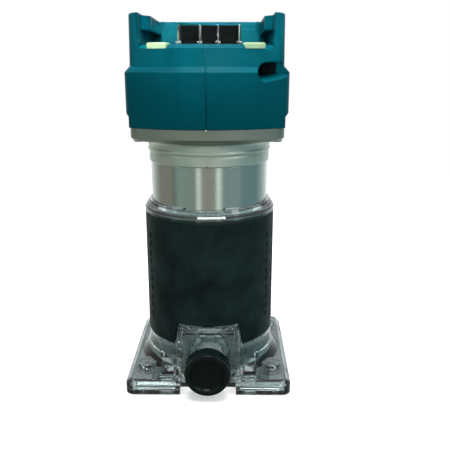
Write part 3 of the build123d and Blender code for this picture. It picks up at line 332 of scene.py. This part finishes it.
def grip_mesh():
    step_a = math.radians(0.55)
    a0, a1 = -(math.pi - GAP), (math.pi - GAP)
    na = int((a1 - a0) / step_a) + 1
    th = np.linspace(a0, a1, na)
    edge = 0.0005
    zs = np.unique(np.concatenate([[Z0, Z0 + edge * 0.3, Z0 + edge], np.arange(Z0 + 0.001, Z1 - 0.001, 0.00033),
                                   [NOTCH_TOP], [Z1 - edge, Z1 - edge * 0.3, Z1]]))
    A, Z = np.meshgrid(th, zs)
    # columns near the notch wall follow its slant: the one nearest the top corner lies exactly on it
    col0 = float(notch_angle(NOTCH_TOP))
    shift = notch_angle(Z) - col0
    near = np.clip(1.0 - np.abs(np.abs(A) - col0) / 0.25, 0.0, 1.0) * (Z < NOTCH_TOP)
    for s in (-1, 1):
        A[:, np.argmin(np.abs(th - s * col0))] = s * col0
    A = A + np.sign(A) * shift * near
    NOTCH = notch_angle(Z)
    ends = np.minimum(A - a0, a1 - A) * R_OUT
    rim = np.minimum(np.minimum(Z - Z0, Z1 - Z), np.minimum(ends, 1.0))
    near_notch = np.where(np.abs(A) < NOTCH + 0.03, np.maximum(NOTCH_TOP - Z, 0) * 0 + np.maximum(
        np.maximum(Z - NOTCH_TOP, 0), np.maximum(np.abs(A) - NOTCH, 0) * R_OUT), 1.0)
    rim = np.minimum(rim, near_notch)
    rnd = 0.0006
    drop = np.where(rim < rnd, rnd - np.sqrt(np.maximum(rnd ** 2 - (rnd - np.minimum(rim, rnd)) ** 2, 0)), 0.0)
    rad = R_OUT - drop - 0.00075 * dimple_depth(A, Z)
    outer = np.stack([rad * np.sin(A), -rad * np.cos(A), Z], -1).reshape(-1, 3)
    inner = np.stack([R_IN * np.sin(A), -R_IN * np.cos(A), Z], -1).reshape(-1, 3)
    nz, nth = A.shape
    verts = np.vstack([outer, inner])
    off = len(outer)
    keep = np.ones((nz - 1, nth - 1), bool)
    am, zm = (A[:-1, :-1] + A[1:, 1:]) / 2, (Z[:-1, :-1] + Z[1:, 1:]) / 2
    keep[(np.abs(am) < notch_angle(zm)) & (zm < NOTCH_TOP)] = False
    faces = []
    idx = np.arange(nz * nth).reshape(nz, nth)
    i, j = np.nonzero(keep)
    a, b, c, d = idx[i, j], idx[i, j + 1], idx[i + 1, j + 1], idx[i + 1, j]
    faces += np.stack([a, b, c, d], -1).tolist()
    faces += np.stack([a + off, d + off, c + off, b + off], -1).tolist()

    def wall(p, q):
        faces.append([p, p + off, q + off, q])
    padded = np.pad(keep, 1)
    for ii in range(nz - 1):
        for jj in range(nth - 1):
            if not keep[ii, jj]:
                continue
            if not padded[ii, jj + 1]:
                wall(idx[ii, jj + 1], idx[ii, jj])
            if not padded[ii + 2, jj + 1]:
                wall(idx[ii + 1, jj], idx[ii + 1, jj + 1])
            if not padded[ii + 1, jj]:
                wall(idx[ii, jj], idx[ii + 1, jj])
            if not padded[ii + 1, jj + 2]:
                wall(idx[ii + 1, jj + 1], idx[ii, jj + 1])
    used = np.unique(np.array([v for f in faces for v in f]))
    remap = -np.ones(len(verts), int)
    remap[used] = np.arange(len(used))
    return verts[used], [[int(remap[v]) for v in f] for f in faces]


gv, gf = grip_mesh()
grip = mesh_object("rubber_grip", gv, gf, rubber)
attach(grip, "base")
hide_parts("grip_sleeve")


# ------------------------------------------------------------------ clamp screw with a real helical thread
def thread_mesh(r_major, r_minor, pitch, length, axis_len0, lead_in, seg=48, per_turn_rows=10):
    """A threaded rod along +local z from 0 to length, closed at both ends."""
    rows = int(length / pitch * per_turn_rows) + 1
    verts, faces = [], []
    for r in range(rows + 1):
        z = length * r / rows
        for s in range(seg):
            a = 2 * math.pi * s / seg
            ph = ((z / pitch) - s / seg) % 1.0
            tri = 1.0 - abs(2.0 * ph - 1.0)
            rr = r_minor + (r_major - r_minor) * min(1.0, max(0.0, tri * 1.35 - 0.15))
            end = min(1.0, min(z, length - z) / lead_in)
            rr = rr * (0.86 + 0.14 * end) if end < 1.0 else rr
            verts.append((rr * math.cos(a), rr * math.sin(a), z))
    for r in range(rows):
        for s in range(seg):
            a, b = r * seg + s, r * seg + (s + 1) % seg
            faces.append((a, b, b + seg, a + seg))
    c0, c1 = len(verts), len(verts) + 1
    verts += [(0, 0, 0), (0, 0, length)]
    for s in range(seg):
        faces.append((c0, (s + 1) % seg, s))
        faces.append((c1, rows * seg + s, rows * seg + (s + 1) % seg))
    return verts, faces


slo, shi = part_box("guide_screw")
sv, sf = thread_mesh(0.00298, 0.00255, 0.001, float(shi[1] - slo[1]) - 0.0002, 0.0, 0.0006)
cx, cz = (slo[0] + shi[0]) / 2, (slo[2] + shi[2]) / 2
sv = [(cx + v[0], shi[1] - 0.0001 - v[2], cz + v[1]) for v in sv]
screw = mesh_object("guide_screw_thread", sv, sf, zinc)
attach(screw, "knob")
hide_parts("guide_screw")

# ------------------------------------------------------------------ studio
floor_me = bpy.data.meshes.new("floor")
S = 9.0
floor_me.from_pydata([(-S, -S, 0), (S, -S, 0), (S, S, 0), (-S, S, 0)], [], [(0, 1, 2, 3)])
floor = bpy.data.objects.new("floor", floor_me)
scene.collection.objects.link(floor)
floor.location.z = -0.0002
fm = bpy.data.materials.new("floor")
fm.use_nodes = True
kf = Kit(fm.node_tree)
fm.node_tree.nodes.remove(fm.node_tree.nodes["Principled BSDF"])
out = fm.node_tree.nodes["Material Output"]
fco = kf.node("ShaderNodeTexCoord").outputs["Object"]
dist = kf.node("ShaderNodeVectorMath", operation="LENGTH")
kf.link(fco, dist.inputs[0])
far = kf.ramp(dist.outputs["Value"], 0.22, 0.75, 0.0, 1.0)
diff = kf.node("ShaderNodeBsdfDiffuse")
diff.inputs["Color"].default_value = (0.90, 0.91, 0.91, 1)
glow = kf.node("ShaderNodeEmission")
glow.inputs["Strength"].default_value = 1.0
base_glow = kf.node("ShaderNodeEmission")
base_glow.inputs["Strength"].default_value = 0.38
add = kf.node("ShaderNodeAddShader")
kf.link(diff.outputs[0], add.inputs[0])
kf.link(base_glow.outputs[0], add.inputs[1])
mixs = kf.node("ShaderNodeMixShader")
kf.link(far, mixs.inputs[0])
kf.link(add.outputs[0], mixs.inputs[1])
kf.link(glow.outputs[0], mixs.inputs[2])
kf.link(mixs.outputs[0], out.inputs["Surface"])
floor_me.materials.append(fm)
floor.visible_glossy = False
floor.visible_diffuse = False

world = bpy.data.worlds.new("studio")
scene.world = world
world.use_nodes = True
kw = Kit(world.node_tree)
wt = world.node_tree
bg = wt.nodes["Background"]
wco = kw.node("ShaderNodeTexCoord").outputs["Generated"]
wsep = kw.node("ShaderNodeSeparateXYZ")
kw.link(wco, wsep.inputs[0])
# azimuth 0 towards -Y (the camera's side), positive towards +X, as -1..1
az = kw.math("DIVIDE", kw.math("ARCTAN2", wsep.outputs["X"], kw.math("MULTIPLY", wsep.outputs["Y"], -1.0)), math.pi)
fac = kw.math("MULTIPLY_ADD", az, 0.5)
fac.node.inputs[2].default_value = 0.5
ramp = wt.nodes.new("ShaderNodeValToRGB")
kw.link(fac, ramp.inputs[0])


def azs(deg):
    return 0.5 + deg / 360.0


stops = [(-180, (1, 1, 1)), (-150, (0.92, 0.95, 0.94)), (-132, (0.62, 0.64, 0.63)), (-112, (0.33, 0.31, 0.27)),
         (-82, (0.33, 0.31, 0.27)), (-70, (0.22, 0.25, 0.23)), (-62, (0.33, 0.43, 0.40)), (-34, (0.32, 0.40, 0.37)),
         (-26, (0.28, 0.32, 0.30)), (-21, (1.0, 1.05, 1.0)), (-17, (1.0, 1.05, 1.0)), (-12, (0.42, 0.39, 0.35)),
         (8, (0.42, 0.39, 0.355)), (13, (0.38, 0.40, 0.38)), (17, (1.05, 1.12, 1.08)), (22, (1.05, 1.12, 1.08)),
         (28, (0.32, 0.39, 0.40)), (62, (0.33, 0.43, 0.45)), (70, (0.22, 0.33, 0.35)), (108, (0.20, 0.33, 0.36)),
         (128, (0.50, 0.56, 0.57)), (150, (0.92, 0.95, 0.95)), (180, (1, 1, 1))]
els = ramp.color_ramp.elements
els[0].position, els[0].color = azs(stops[0][0]), (*stops[0][1], 1)
els[1].position, els[1].color = 1.0, (*stops[-1][1], 1)
for d, c in stops[1:-1]:
    e = els.new(azs(d))
    e.color = (*c, 1)
# brighter overhead
up = kw.ramp(wsep.outputs["Z"], 0.35, 0.9, 0.0, 1.0)
env = kw.mix(up, ramp.outputs["Color"], (1.1, 1.14, 1.14, 1))
soft = kw.mix(kw.ramp(wsep.outputs["Z"], -0.2, 1.0, 0.0, 1.0), (0.10, 0.105, 0.105, 1), (0.75, 0.77, 0.77, 1))
lp = kw.node("ShaderNodeLightPath")
lit = kw.mix(lp.outputs["Is Diffuse Ray"], env, soft)
final = kw.mix(lp.outputs["Is Camera Ray"], lit, (1, 1, 1, 1))
kw.link(final, bg.inputs["Color"])
bg.inputs["Strength"].default_value = 1.0


def softbox(name, loc, target, size, power, colour=(1, 1, 1)):
    d = bpy.data.lights.new(name, "AREA")
    d.shape, d.size, d.size_y = "RECTANGLE", size[0], size[1]
    d.energy, d.color = power, colour
    o = bpy.data.objects.new(name, d)
    scene.collection.objects.link(o)
    o.location = loc
    o.rotation_euler = (Vector(target) - Vector(loc)).to_track_quat("-Z", "Y").to_euler()
    return o


softbox("key_right", (0.8, -0.55, 0.75), (0, 0, 0.12), (0.4, 0.6), 3.0)
softbox("fill_left", (-0.9, -0.4, 0.6), (0, 0, 0.12), (0.4, 0.6), 0.9)
softbox("top", (0.04, -0.24, 1.15), (0, 0, 0.12), (0.6, 0.35), 11.0)
snoot = softbox("snoot", (0.10, -1.0, 0.62), (0.004, -0.04, 0.222), (0.04, 0.04), 0.038)
snoot.data.spread = math.radians(6.0)
